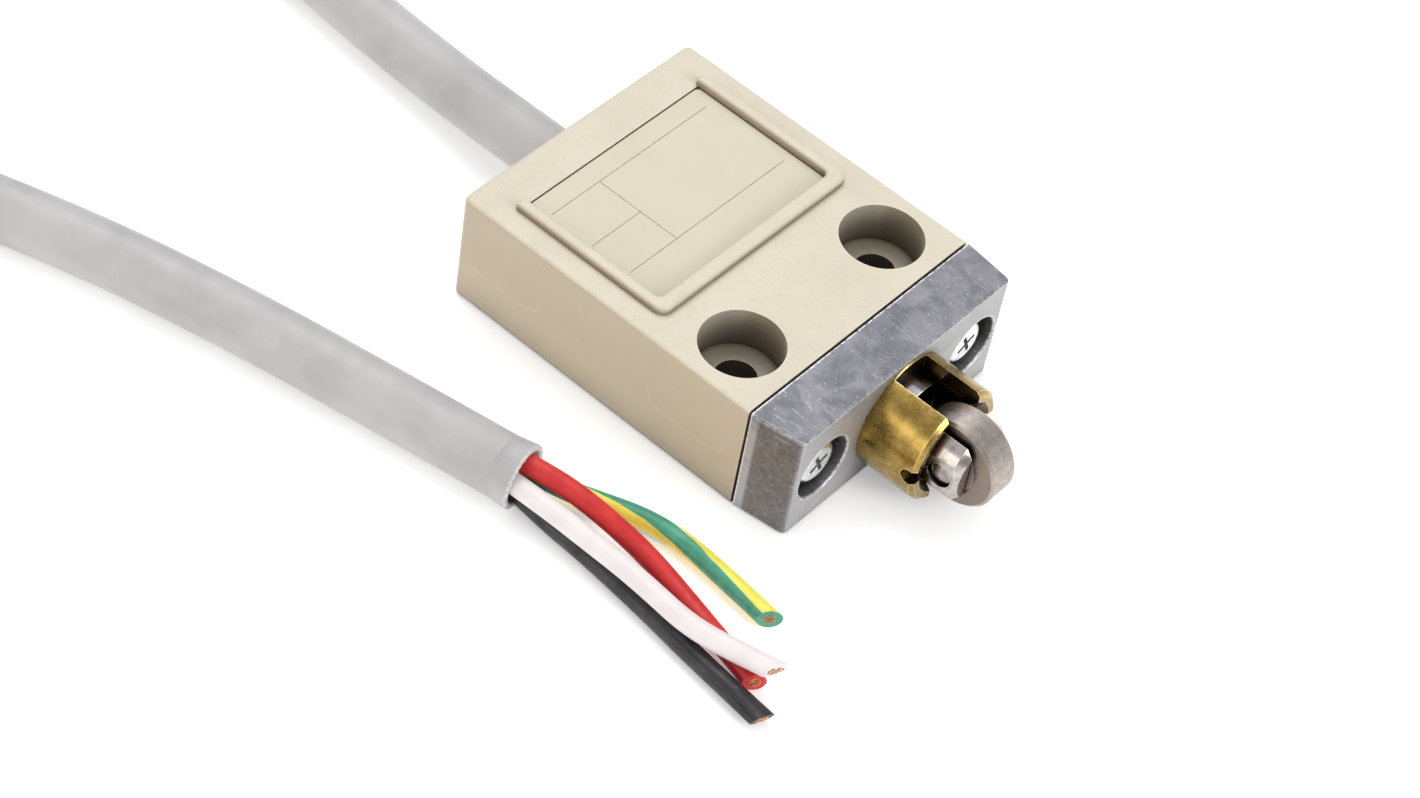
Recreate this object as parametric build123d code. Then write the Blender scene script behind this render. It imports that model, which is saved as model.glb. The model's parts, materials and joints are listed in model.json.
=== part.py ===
from build123d import *
import math
import os

# Compact enclosed limit switch with a roller plunger and a pre-wired cable, in millimetres.
# Origin: midway between the two mounting holes, on the back face. +X is the way the plunger
# points, +Y runs from one mounting hole to the other, +Z goes from the back to the nameplate.

# Housing
BODY_T = 16.0
BODY_W = 39.3
BACK_X = -36.8
JOINT_X = 7.2
AXIS_Z = BODY_T / 2
EDGE_R = 0.6
CORNER_R = 0.9
HOLE_PITCH = 25.0
HOLE_R = 2.6
COUNTERBORE_R = 5.15
COUNTERBORE_FLOOR_Z = 10.3

# Nameplate frame: a raised wall on three sides of a shallow recess
RECESS_DEPTH = 0.3
FRAME_H = 1.05
FRAME_BACK_X = -31.4
RECESS_BACK_X = -31.05
FRAME_FRONT_X = -8.6
RECESS_FRONT_X = -10.5
FRAME_HALF_W = 16.4
RECESS_HALF_W = 15.0
FRAME_CORNER_R = 1.3
RECESS_CORNER_R = 0.7
FRAME_TOP_R = 0.45
PLATE_T = 0.15
PLATE_GAP = 0.15

# Inside of the housing
CEILING_Z = 14.2
CHAMBER_BACK_X = -33.4
CHAMBER_FRONT_X = -8.2
CHAMBER_HALF_W = 16.2
NECK_HALF_W = 6.3
REBATE_Z = 1.8
REBATE_BACK_X = -35.2
REBATE_FRONT_X = -6.4
REBATE_HALF_W = 18.0
COVER_FACE_Z = 0.1
COVER_T = 1.2
COVER_GAP = 0.15
COVER_BOSS_X = (-31.4, -10.2)
COVER_BOSS_Y = 14.4
COVER_BOSS_R = 2.2
COVER_SCREW_R = 1.25
COVER_SCREW_HEAD_R = 2.3
COVER_SCREW_TOP_Z = 7.5

# Head
GASKET_T = 0.3
HEAD_X = JOINT_X + GASKET_T
HEAD_FRONT_X = 14.5
HEAD_SHOULDER_X = 8.7
HEAD_BACK_W = 39.0
HEAD_FRONT_W = 37.5
HEAD_INSET_Z = 0.12
HEAD_SCREW_Y = 13.5
HEAD_POCKET_R = 4.2
HEAD_POCKET_CHAMFER = 0.15
HEAD_EDGE_R = 0.8
HEAD_POCKET_DEPTH = 2.6
HEAD_SCREW_R = 1.5
HEAD_SCREW_HEAD_R = 3.0
HEAD_SCREW_HEAD_H = 1.9
HEAD_SCREW_END_X = 3.2
CROSS_W = 0.55
CROSS_SPAN = 3.0
CROSS_DEPTH = 1.1

# Brass guide bush, plunger, roller
BUSH_R = 7.5
BUSH_SPIGOT_R = 6.2
BUSH_BACK_X = 10.0
BUSH_FRONT_X = 22.8
BUSH_BORE_R = 5.17
BUSH_MOUTH = 1.0
BUSH_CHAMFER = 0.5
BUSH_SLOT_W = 5.7
BUSH_SLOT_X = 14.8
BUSH_NOTCH_W = 2.0
BUSH_NOTCH_DEPTH = 1.9
PLUNGER_R = 5.1
PLUNGER_FRONT_X = 26.7
PLUNGER_SLOT_X = 17.2
PLUNGER_SLOT_W = 5.2
PLUNGER_END_CHAMFER = 0.9
PLUNGER_FLAT_Y = 4.6
PLUNGER_FLAT_X = 21.9
FLANGE_R = 5.7
FLANGE_X = (6.1, 7.2)
PLUNGER_BORE_R = 2.7
PLUNGER_BORE_END_X = 16.2
ROLLER_X = 24.2
ROLLER_R = 5.9
ROLLER_W = 4.8
ROLLER_HUB_R = 3.3
ROLLER_HUB_RISE = 0.3
ROLLER_CHAMFER = 0.35
PIN_R = 1.65
PIN_HALF_L = 4.1
RUNNING_GAP = 0.03

# Seal, springs and the inner pusher
SEAL_X = (8.1, 9.9)
WASHER_X = (7.5, 8.0)
WASHER_R = (5.2, 6.9)
WASHER_POCKET_R = 7.0
SEAT_X = (-8.0, -6.6)
SEAT_PILOT_X = -5.2
SEAT_PILOT_R = 3.4
SEAT_HOLE_R = 2.5
RETURN_COIL_R = 4.35
RETURN_WIRE_R = 0.45
RETURN_TURNS = 6
OVERTRAVEL_COIL_R = 2.05
OVERTRAVEL_WIRE_R = 0.3
OVERTRAVEL_TURNS = 5
CLIP_X = (6.4, 6.9)
CLIP_R = (1.85, 3.0)
PUSHER_HEAD_R = 2.5
PUSHER_HEAD_X = (7.0, 8.4)
PUSHER_R = 1.7
PUSHER_BACK_X = -8.45

# Built-in snap switch
CASE_X = (-24.0, -9.0)
CASE_HALF_W = 9.8
CASE_Z = (3.2, 12.2)
CASE_WALL = 1.2
CASE_COVER_T = 1.0
CASE_SCREWS = ((-20.5, 2.0), (-15.8, -3.4))
CASE_BOSS_R = 2.0
CASE_SCREW_R = 1.0
CASE_SCREW_TOP_Z = 14.9
BUTTON_R = 1.4
BUTTON_X = (-11.65, -8.45)
BUTTON_COLLAR_R = 2.0
BUTTON_COLLAR_X = -10.6
BLADE_X = (-11.95, -11.7)
BLADE_Y = (-7.2, 7.8)
BLADE_Z = (6.6, 9.4)
BLADE_PIVOT = (-11.9, -7.0)
BLADE_PIVOT_R = 0.4
CONTACT_Y = 6.6
CONTACT_R = 1.0
MOVING_CONTACT_X = (-12.6, -11.05)
NC_FACE_X = -11.0
NO_FACE_X = -13.65
STRIP_T = 0.4
TERMINAL_END_X = -26.5
COMMON_Y = -8.1
NC_Y = 8.2
NO_Y = 5.4

# Cable
CABLE_D = 7.7
CABLE_R = CABLE_D / 2
CABLE_Z = 7.0
GROMMET_R = 4.7
GROMMET_FLANGE_R = 5.1
GROMMET_FLANGE_X = -32.5
CLAMP_X = (-32.4, -31.5)
CLAMP_R = 4.6
JACKET_IN_X = -31.2
INNER_LEAD_R = 0.95
LEAD_STEP = 1.3
EARTH_X = -26.0
EARTH_Y = -13.8
EARTH_BOSS_R = 2.6
EARTH_TAG_Z = (11.0, 11.5)

# Cable laid on the surface: lead from the housing, coil of the spare length, tail to the cut end
COIL_CENTRE = (-170.0, -31.5)
COIL_R = 45.0
COIL_COLUMNS = 3
COIL_LAYERS = 4
COIL_BASE_Z = 0.9
COIL_TURNS = 9.625
COIL_CORNER_R = 3.0
TIE_T = 0.8
TIE_W = 3.6
TIE_GAP = 0.1
TIE_ANGLES = (20.0, 140.0)
LEAD_ROUTE = [
    (BACK_X, 0.0, CABLE_Z),
    (-47.0, 0.5, 6.2),
    (-60.0, 2.2, 4.1),
    (-76.0, 3.2, 3.85),
    (-98.0, 5.4, 3.85),
    (-130.0, 12.3, 4.25),
    (-156.4, 19.4, 4.75),
]
TAIL_ROUTE = [
    (-216.0, -53.0, 26.0),
    (-206.0, -81.0, 22.5),
    (-181.0, -96.5, 17.5),
    (-150.0, -91.5, 11.5),
    (-122.0, -75.0, 6.3),
    (-95.0, -58.5, 4.0),
    (-69.0, -49.0, 3.85),
    (-47.0, -43.6, 3.85),
    (-27.0, -39.9, 3.85),
    (-9.3, -36.8, 3.85),
]
CORE_D = 2.55
CORE_R = CORE_D / 2
STRANDS_R = 0.72
STRANDS_L = 0.12
CORE_ROUTES = {
    "red": [
        (-10.0, -36.28, 5.6),
        (-5.5, -35.2, 5.3),
        (-1.1, -34.6, 4.6),
        (2.3, -34.1, 3.6),
        (7.5, -33.8, 2.3),
        (14.4, -34.8, 1.4),
        (26.2, -37.5, 1.3),
    ],
    "white": [
        (-10.0, -38.67, 4.49),
        (-4.0, -38.3, 4.4),
        (1.9, -38.1, 4.1),
        (6.7, -38.0, 4.0),
        (11.0, -38.2, 4.0),
        (17.0, -38.7, 4.0),
        (22.0, -37.9, 4.0),
        (27.8, -36.3, 3.9),
    ],
    "black": [
        (-10.0, -37.56, 2.1),
        (-5.0, -37.7, 1.35),
        (1.2, -37.8, 1.3),
        (11.7, -38.7, 1.3),
        (20.3, -39.8, 1.3),
        (30.0, -40.6, 1.3),
    ],
    "earth": [
        (-10.0, -35.17, 3.21),
        (-5.8, -33.4, 2.0),
        (-2.2, -31.4, 1.4),
        (2.5, -29.4, 1.3),
        (7.5, -28.6, 1.3),
        (14.0, -28.9, 1.3),
        (21.7, -29.7, 1.3),
    ],
}


def block(x0, x1, y0, y1, z0, z1):
    centre = Pos((x0 + x1) / 2, (y0 + y1) / 2, (z0 + z1) / 2)
    return centre * Box(x1 - x0, y1 - y0, z1 - z0)


def rod_x(x0, x1, r, y=0.0, z=AXIS_Z):
    return Pos((x0 + x1) / 2, y, z) * Rot(0, 90, 0) * Cylinder(r, x1 - x0)


def rod_y(y0, y1, r, x, z=AXIS_Z):
    return Pos(x, (y0 + y1) / 2, z) * Rot(90, 0, 0) * Cylinder(r, y1 - y0)


def rod_z(z0, z1, r, x, y):
    return Pos(x, y, (z0 + z1) / 2) * Cylinder(r, z1 - z0)


def flare_x(x, r, size, y=0.0):
    """The cutter for a 45 degree chamfer round the mouth of a bore that opens at x."""
    return Pos(x - size / 2 + 0.1, y, AXIS_Z) * Rot(0, 90, 0) * Cone(r, r + size + 0.2, size + 0.2)


def ring_x(x0, x1, r_in, r_out, z=AXIS_Z):
    return rod_x(x0, x1, r_out, z=z) - rod_x(x0 - 1, x1 + 1, r_in, z=z)


def save(name, *shapes):
    """Write one node; several shapes make a node of separate solids."""
    solids = [solid for shape in shapes for solid in shape.solids()]
    shape = solids[0] if len(solids) == 1 else Compound(children=solids)
    export_step(shape, f"parts/{name}.step")


def rounded_slab(x0, x1, half_w, z0, z1, r):
    slab = block(x0, x1, -half_w, half_w, z0, z1)
    return fillet(slab.edges().filter_by(Axis.Z), r)


# Housing and covers


def nameplate_frame():
    """The raised wall round three sides of the recess, with rounded top edges."""
    top = BODY_T + FRAME_H
    outer = block(FRAME_BACK_X, FRAME_FRONT_X, -FRAME_HALF_W, FRAME_HALF_W, BODY_T - 1, top)
    front = outer.edges().filter_by(Axis.Z).group_by(Axis.X)[-1]
    outer = fillet(front, FRAME_CORNER_R)
    inner = block(FRAME_BACK_X - 1, RECESS_FRONT_X, -RECESS_HALF_W, RECESS_HALF_W, 0, top + 1)
    front = inner.edges().filter_by(Axis.Z).group_by(Axis.X)[-1]
    inner = fillet(front, RECESS_CORNER_R)
    wall = outer - inner
    return fillet(wall.faces().sort_by(Axis.Z)[-1].edges(), FRAME_TOP_R)


def housing_shell():
    shell = block(BACK_X, JOINT_X, -BODY_W / 2, BODY_W / 2, 0, BODY_T)
    shell = fillet(shell.edges().filter_by(Axis.Z).group_by(Axis.X)[0], CORNER_R)
    joint_face = shell.faces().sort_by(Axis.X)[-1]
    rims = shell.faces().sort_by(Axis.Z)[-1].edges() + shell.faces().sort_by(Axis.Z)[0].edges()
    rims = [e for e in rims if e.center().X < joint_face.center().X - 0.01]
    shell = fillet(rims, EDGE_R)
    floor_z = BODY_T - RECESS_DEPTH
    recess = block(RECESS_BACK_X, RECESS_FRONT_X, -RECESS_HALF_W, RECESS_HALF_W, floor_z, BODY_T + 1)
    recess = fillet(recess.edges().filter_by(Axis.Z).group_by(Axis.X)[-1], RECESS_CORNER_R)
    return shell + nameplate_frame() - recess


def housing_inside():
    inside = block(CHAMBER_BACK_X, CHAMBER_FRONT_X, -CHAMBER_HALF_W, CHAMBER_HALF_W, 0, CEILING_Z)
    inside = fillet(inside.edges().filter_by(Axis.Z), 1.0)
    for x in COVER_BOSS_X:
        for y in (-COVER_BOSS_Y, COVER_BOSS_Y):
            inside -= rod_z(REBATE_Z, CEILING_Z + 1, COVER_BOSS_R, x, y)
    for x, y in CASE_SCREWS:
        inside -= rod_z(CASE_Z[1] + CASE_COVER_T, CEILING_Z + 1, CASE_BOSS_R, x, y)
    inside -= rod_z(EARTH_TAG_Z[1], CEILING_Z + 1, EARTH_BOSS_R, EARTH_X, EARTH_Y)
    neck = block(CHAMBER_FRONT_X - 1, JOINT_X + 1, -NECK_HALF_W, NECK_HALF_W, REBATE_Z, CEILING_Z)
    rebate = rounded_slab(REBATE_BACK_X, REBATE_FRONT_X, REBATE_HALF_W, -1, REBATE_Z, 2.0)
    return inside + neck + rebate


def housing_holes():
    holes = []
    for y in (-HOLE_PITCH / 2, HOLE_PITCH / 2):
        holes.append(rod_z(-1, BODY_T, HOLE_R, 0, y))
        holes.append(rod_z(COUNTERBORE_FLOOR_Z, BODY_T + 1, COUNTERBORE_R, 0, y))
    for y in (-HEAD_SCREW_Y, HEAD_SCREW_Y):
        holes.append(rod_x(HEAD_SCREW_END_X - 0.2, JOINT_X + 1, HEAD_SCREW_R, y))
    for x in COVER_BOSS_X:
        for y in (-COVER_BOSS_Y, COVER_BOSS_Y):
            holes.append(rod_z(0, COVER_SCREW_TOP_Z + 0.3, COVER_SCREW_R, x, y))
    for x, y in CASE_SCREWS:
        holes.append(rod_z(CASE_Z[1], CASE_SCREW_TOP_Z + 0.1, CASE_SCREW_R, x, y))
    holes.append(rod_z(EARTH_TAG_Z[1] - 1, CASE_SCREW_TOP_Z + 0.1, COVER_SCREW_R, EARTH_X, EARTH_Y))
    holes.append(rod_x(BACK_X - 1, CHAMBER_BACK_X + 1, GROMMET_R, z=CABLE_Z))
    return holes


def housing():
    shell = housing_shell() - housing_inside()
    for hole in housing_holes():
        shell -= hole
    return shell


def nameplate():
    z0 = BODY_T - RECESS_DEPTH
    x0 = RECESS_BACK_X + PLATE_GAP
    x1 = RECESS_FRONT_X - PLATE_GAP
    return rounded_slab(x0, x1, RECESS_HALF_W - PLATE_GAP, z0, z0 + PLATE_T, RECESS_CORNER_R)


def cover_outline(z0, z1):
    x0 = REBATE_BACK_X + COVER_GAP
    x1 = REBATE_FRONT_X - COVER_GAP
    return rounded_slab(x0, x1, REBATE_HALF_W - COVER_GAP, z0, z1, 2.0)


def cover_screw(x, y):
    """Countersunk cross-recess screw, head down."""
    shaft = rod_z(COVER_FACE_Z + 0.1, COVER_SCREW_TOP_Z, COVER_SCREW_R, x, y)
    height = COVER_SCREW_HEAD_R - COVER_SCREW_R
    head = Pos(x, y, COVER_FACE_Z + 0.1 + height / 2) * Cone(COVER_SCREW_HEAD_R, COVER_SCREW_R, height)
    slot = Box(0.5, 2.4, 1.4) + Box(2.4, 0.5, 1.4)
    return shaft + head - Pos(x, y, COVER_FACE_Z + 0.1) * slot


def cover_screws():
    return [cover_screw(x, y) for x in COVER_BOSS_X for y in (-COVER_BOSS_Y, COVER_BOSS_Y)]


def back_cover():
    cover = cover_outline(COVER_FACE_Z, COVER_FACE_Z + COVER_T)
    for x in COVER_BOSS_X:
        for y in (-COVER_BOSS_Y, COVER_BOSS_Y):
            sink = Pos(x, y, COVER_FACE_Z + 0.55) * Cone(COVER_SCREW_HEAD_R + 0.2, COVER_SCREW_R + 0.1, 1.1)
            cover -= sink + rod_z(-1, 3, COVER_SCREW_R + 0.05, x, y)
    return cover


def back_gasket():
    z0 = COVER_FACE_Z + COVER_T
    ring = cover_outline(z0, REBATE_Z)
    ring -= block(CHAMBER_BACK_X, CHAMBER_FRONT_X, -11.5, 11.5, 0, 3)
    ring -= block(-28.5, -13.0, -CHAMBER_HALF_W, CHAMBER_HALF_W, 0, 3)
    for x in COVER_BOSS_X:
        for y in (-COVER_BOSS_Y, COVER_BOSS_Y):
            ring -= rod_z(0, 3, COVER_SCREW_R + 0.05, x, y)
    return ring


# Head


def head_outline():
    back, front = HEAD_BACK_W / 2, HEAD_FRONT_W / 2
    points = [
        (HEAD_X, -back),
        (HEAD_SHOULDER_X, -back),
        (HEAD_FRONT_X, -front),
        (HEAD_FRONT_X, front),
        (HEAD_SHOULDER_X, back),
        (HEAD_X, back),
    ]
    face = make_face(Polyline(*points, close=True))
    return Pos(0, 0, HEAD_INSET_Z) * extrude(face, BODY_T - 2 * HEAD_INSET_Z)


def head_plate():
    plate = head_outline()
    plate = fillet(plate.edges().filter_by(Axis.Z).group_by(Axis.X)[-1], HEAD_EDGE_R)
    plate = fillet(plate.faces().sort_by(Axis.X)[-1].edges(), 0.3)
    plate -= rod_x(HEAD_X - 1, HEAD_FRONT_X + 1, BUSH_SPIGOT_R)
    plate -= rod_x(HEAD_X - 1, WASHER_X[1], WASHER_POCKET_R)
    for y in (-HEAD_SCREW_Y, HEAD_SCREW_Y):
        plate -= rod_x(HEAD_X - 1, HEAD_FRONT_X + 1, HEAD_SCREW_R + 0.2, y)
        plate -= rod_x(HEAD_FRONT_X - HEAD_POCKET_DEPTH, HEAD_FRONT_X + 1, HEAD_POCKET_R, y)
        plate -= flare_x(HEAD_FRONT_X, HEAD_POCKET_R, HEAD_POCKET_CHAMFER, y)
    return plate


def head_gasket():
    sheet = block(JOINT_X, HEAD_X, -HEAD_BACK_W / 2 + 0.4, HEAD_BACK_W / 2 - 0.4, 0.5, BODY_T - 0.5)
    sheet -= block(JOINT_X - 1, HEAD_X + 1, -NECK_HALF_W, NECK_HALF_W, REBATE_Z, CEILING_Z)
    for y in (-HEAD_SCREW_Y, HEAD_SCREW_Y):
        sheet -= rod_x(JOINT_X - 1, HEAD_X + 1, HEAD_SCREW_R + 0.2, y)
    return sheet


def head_screw(y):
    """Pan-head cross-recess screw along X."""
    seat_x = HEAD_FRONT_X - HEAD_POCKET_DEPTH
    head = rod_x(seat_x, seat_x + HEAD_SCREW_HEAD_H, HEAD_SCREW_HEAD_R, y)
    head = fillet(head.edges().sort_by(Axis.X)[-1], 0.9)
    shaft = rod_x(HEAD_SCREW_END_X, seat_x + 0.5, HEAD_SCREW_R, y)
    arms = Box(2 * CROSS_DEPTH, CROSS_W, CROSS_SPAN) + Box(2 * CROSS_DEPTH, CROSS_SPAN, CROSS_W)
    cross = Pos(seat_x + HEAD_SCREW_HEAD_H, y, AXIS_Z) * Rot(24, 0, 0) * arms
    return head + shaft - cross


def guide_bush():
    bush = rod_x(BUSH_BACK_X, BUSH_FRONT_X, BUSH_SPIGOT_R)
    nose = rod_x(HEAD_FRONT_X, BUSH_FRONT_X, BUSH_R)
    nose = chamfer(nose.edges().sort_by(Axis.X)[-1], BUSH_CHAMFER)
    bush = bush + nose - rod_x(BUSH_BACK_X - 1, BUSH_FRONT_X + 1, BUSH_BORE_R)
    bush -= flare_x(BUSH_FRONT_X, BUSH_BORE_R, BUSH_MOUTH)
    half = BUSH_SLOT_W / 2
    bush -= block(BUSH_SLOT_X, BUSH_FRONT_X + 1, -half, half, -1, BODY_T + 1)
    notch_x = BUSH_FRONT_X - BUSH_NOTCH_DEPTH
    r = BUSH_NOTCH_W / 2
    bush -= block(notch_x + r, BUSH_FRONT_X + 1, -BUSH_R - 1, BUSH_R + 1, AXIS_Z - r, AXIS_Z + r)
    return bush - rod_y(-BUSH_R - 1, BUSH_R + 1, r, notch_x + r)


def seal_ring():
    ring = ring_x(*SEAL_X, PLUNGER_R + RUNNING_GAP, BUSH_SPIGOT_R - 0.02)
    mouth = ring.edges().filter_by(GeomType.CIRCLE).sort_by(Axis.X)[0:2].sort_by(SortBy.RADIUS)[0]
    return chamfer(mouth, 0.4)


# Plunger and roller


def plunger():
    body = rod_x(FLANGE_X[1] - 0.5, PLUNGER_FRONT_X, PLUNGER_R)
    body = chamfer(body.edges().sort_by(Axis.X)[-1], PLUNGER_END_CHAMFER)
    body += rod_x(*FLANGE_X, FLANGE_R)
    body -= rod_x(FLANGE_X[0] - 1, PLUNGER_BORE_END_X, PLUNGER_BORE_R)
    body -= rod_x(*CLIP_X, CLIP_R[1])
    half = PLUNGER_SLOT_W / 2
    body -= block(PLUNGER_SLOT_X, PLUNGER_FRONT_X + 1, -half, half, 0, BODY_T)
    for side in (-1, 1):
        y0, y1 = sorted((side * PLUNGER_FLAT_Y, side * (PLUNGER_R + 1)))
        body -= block(PLUNGER_FLAT_X, PLUNGER_FRONT_X + 1, y0, y1, 0, BODY_T)
    return body - rod_y(-PLUNGER_R - 1, PLUNGER_R + 1, PIN_R, ROLLER_X)


def roller():
    half = ROLLER_W / 2
    rim = rod_y(-half + ROLLER_HUB_RISE, half - ROLLER_HUB_RISE, ROLLER_R, ROLLER_X)
    rim = chamfer(rim.edges().filter_by(GeomType.CIRCLE), ROLLER_CHAMFER)
    hub = rod_y(-half, half, ROLLER_HUB_R, ROLLER_X)
    return rim + hub - rod_y(-half - 1, half + 1, PIN_R + RUNNING_GAP, ROLLER_X)


def roller_pin():
    pin = rod_y(-PIN_HALF_L, PIN_HALF_L, PIN_R, ROLLER_X)
    return chamfer(pin.edges().filter_by(GeomType.CIRCLE), 0.25)


def coil_spring(x0, x1, coil_r, wire_r, turns):
    """Round-wire compression spring along X, its ends touching x0 and x1."""
    length = x1 - x0 - 2 * wire_r
    helix = Helix(pitch=length / turns, height=length, radius=coil_r)
    wire = sweep(Plane(origin=helix @ 0, z_dir=helix % 0) * Circle(wire_r), path=helix)
    return Pos(x0 + wire_r, 0, AXIS_Z) * Rot(0, 90, 0) * wire


def pusher():
    shaft = rod_x(PUSHER_BACK_X, PUSHER_HEAD_X[1], PUSHER_R)
    shaft = fillet(shaft.edges().sort_by(Axis.X)[0], 0.4)
    return shaft + rod_x(*PUSHER_HEAD_X, PUSHER_HEAD_R)


def pusher_clip():
    ring = ring_x(*CLIP_X, CLIP_R[0], CLIP_R[1] - 0.02)
    return ring - block(*CLIP_X, -0.5, 0.5, AXIS_Z, AXIS_Z + 5)


def spring_seat():
    plate = block(*SEAT_X, -NECK_HALF_W + 0.1, NECK_HALF_W - 0.1, REBATE_Z + 0.1, CEILING_Z - 0.1)
    plate = plate + rod_x(SEAT_X[0], SEAT_PILOT_X, SEAT_PILOT_R)
    return plate - rod_x(SEAT_X[0] - 1, SEAT_PILOT_X + 1, SEAT_HOLE_R)


# Built-in snap switch


def switch_case():
    x0, x1 = CASE_X
    z0, z1 = CASE_Z
    case = block(x0, x1, -CASE_HALF_W, CASE_HALF_W, z0, z1)
    case = fillet(case.edges().filter_by(Axis.Z), 0.8)
    half = CASE_HALF_W - CASE_WALL
    hollow = block(x0 + CASE_WALL, x1 - CASE_WALL, -half, half, z0 + CASE_WALL, z1 + 1)
    for x, y in CASE_SCREWS:
        hollow -= rod_z(z0, z1 + 2, CASE_BOSS_R, x, y)
        case -= rod_z(z0 - 1, z1 + 1, CASE_SCREW_R + 0.1, x, y)
    case -= hollow
    case -= rod_x(BUTTON_X[0], x1 + 1, BUTTON_R + RUNNING_GAP)
    for slot in terminal_tails(0.02):
        case -= slot
    return case


def switch_cover():
    x0, x1 = CASE_X
    z0 = CASE_Z[1]
    lid = block(x0, x1, -CASE_HALF_W, CASE_HALF_W, z0, z0 + CASE_COVER_T)
    lid = fillet(lid.edges().filter_by(Axis.Z), 0.8)
    for x, y in CASE_SCREWS:
        lid -= rod_z(z0 - 1, z0 + 3, CASE_SCREW_R + 0.1, x, y)
    return lid


def switch_screw(x, y):
    head_z = CASE_Z[0]
    head = rod_z(head_z - 1.1, head_z, 1.85, x, y)
    head = fillet(head.edges().sort_by(Axis.Z)[0], 0.5)
    slot = Pos(x, y, head_z - 1.1) * Box(0.5, 2.6, 1.0)
    return head + rod_z(head_z - 0.2, CASE_SCREW_TOP_Z, CASE_SCREW_R, x, y) - slot


def switch_button():
    button = rod_x(*BUTTON_X, BUTTON_R)
    button = fillet(button.edges().sort_by(Axis.X)[0], 0.9)
    return button + rod_x(BUTTON_X[0] + 0.15, BUTTON_COLLAR_X, BUTTON_COLLAR_R)


def terminal_tails(gap):
    """The three straps that leave the back wall of the case, grown by a gap."""
    half = STRIP_T / 2 + gap
    spans = [(COMMON_Y, 6.6, 9.4, -12.4), (NC_Y, 8.4, 10.4, -10.3), (NO_Y, 4.8, 6.8, -14.0)]
    return [
        block(TERMINAL_END_X, x1, y - half, y + half, z0 - gap, z1 + gap)
        for y, z0, z1, x1 in spans
    ]


def common_terminal():
    post = block(-13.6, -12.4, COMMON_Y - 0.2, -6.7, 6.6, 9.4)
    return terminal_tails(0)[0] + post


def nc_terminal():
    arm = block(-10.7, -10.3, CONTACT_Y - 1.4, NC_Y + 0.2, 6.7, 10.4)
    return terminal_tails(0)[1] + arm


def no_terminal():
    arm = block(-14.4, -14.0, NO_Y - 0.2, CONTACT_Y + 1.2, 4.8, 9.3)
    return terminal_tails(0)[2] + arm


def fixed_contacts():
    normally_closed = rod_x(NC_FACE_X, -10.7, CONTACT_R + 0.1, CONTACT_Y)
    normally_open = rod_x(-14.0, NO_FACE_X, CONTACT_R + 0.1, CONTACT_Y)
    return [normally_closed, normally_open]


def moving_blade():
    """A flat blade with a rolled end that it swings about."""
    blade = block(*BLADE_X, *BLADE_Y, *BLADE_Z) + rod_z(*BLADE_Z, BLADE_PIVOT_R, *BLADE_PIVOT)
    return blade - rod_x(BLADE_X[0] - 1, BLADE_X[1] + 1, CONTACT_R - 0.4, CONTACT_Y)


def moving_contact():
    """A rivet through the blade: a head on each side and a shank in the hole."""
    back = rod_x(MOVING_CONTACT_X[0], BLADE_X[0], CONTACT_R, CONTACT_Y)
    front = rod_x(BLADE_X[1], MOVING_CONTACT_X[1], CONTACT_R, CONTACT_Y)
    return back + front + rod_x(BLADE_X[0], BLADE_X[1], CONTACT_R - 0.4, CONTACT_Y)


# Cable entry and inner wiring


def cable_grommet():
    sleeve = rod_x(BACK_X + 0.1, GROMMET_FLANGE_X, GROMMET_R, z=CABLE_Z)
    flange = rod_x(CHAMBER_BACK_X, GROMMET_FLANGE_X, GROMMET_FLANGE_R, z=CABLE_Z)
    return sleeve + flange - rod_x(BACK_X - 1, GROMMET_FLANGE_X + 1, CABLE_R, z=CABLE_Z)


def cable_clamp():
    ring = ring_x(*CLAMP_X, CABLE_R, CLAMP_R, z=CABLE_Z)
    ear = block(*CLAMP_X, -1.6, 1.6, CABLE_Z + CLAMP_R - 0.3, CABLE_Z + CLAMP_R + 1.6)
    return ring + ear


def earth_tag():
    strap = block(EARTH_X - 2.5, CASE_X[0] - 0.1, EARTH_Y - 2.2, -9.4, *EARTH_TAG_Z)
    return strap - rod_z(10, 13, COVER_SCREW_R + 0.05, EARTH_X, EARTH_Y)


def earth_screw():
    top = EARTH_TAG_Z[0]
    head = rod_z(top - 1.5, top, 2.3, EARTH_X, EARTH_Y)
    head = fillet(head.edges().sort_by(Axis.Z)[0], 0.6)
    slot = Pos(EARTH_X, EARTH_Y, top - 1.5) * Box(3.2, 0.6, 1.4)
    return head + rod_z(top - 0.2, CASE_SCREW_TOP_Z, COVER_SCREW_R, EARTH_X, EARTH_Y) - slot


def corner_radii(points):
    """The largest arcs that the runs allow: 0.45 of the shorter run over tan(half the turn)."""
    radii = []
    for a, b, c in zip(points, points[1:], points[2:]):
        before = Vector(*b) - Vector(*a)
        after = Vector(*c) - Vector(*b)
        turn = math.radians(before.get_angle(after))
        radii.append(0.45 * min(before.length, after.length) / math.tan(turn / 2))
    return radii


def tube(name, points, r):
    """A round tube along straight runs joined by tangent arcs."""
    radii = corner_radii(points)
    path = FilletPolyline(*points, radius=radii)
    solid = sweep(Plane(origin=path @ 0, z_dir=path % 0) * Circle(r), path=path)
    share = solid.volume / (math.pi * r * r * path.length)
    print(f"{name}: length {path.length:.1f}, radii {[round(x, 1) for x in radii]}, volume {share:.4f}")
    return solid


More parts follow.
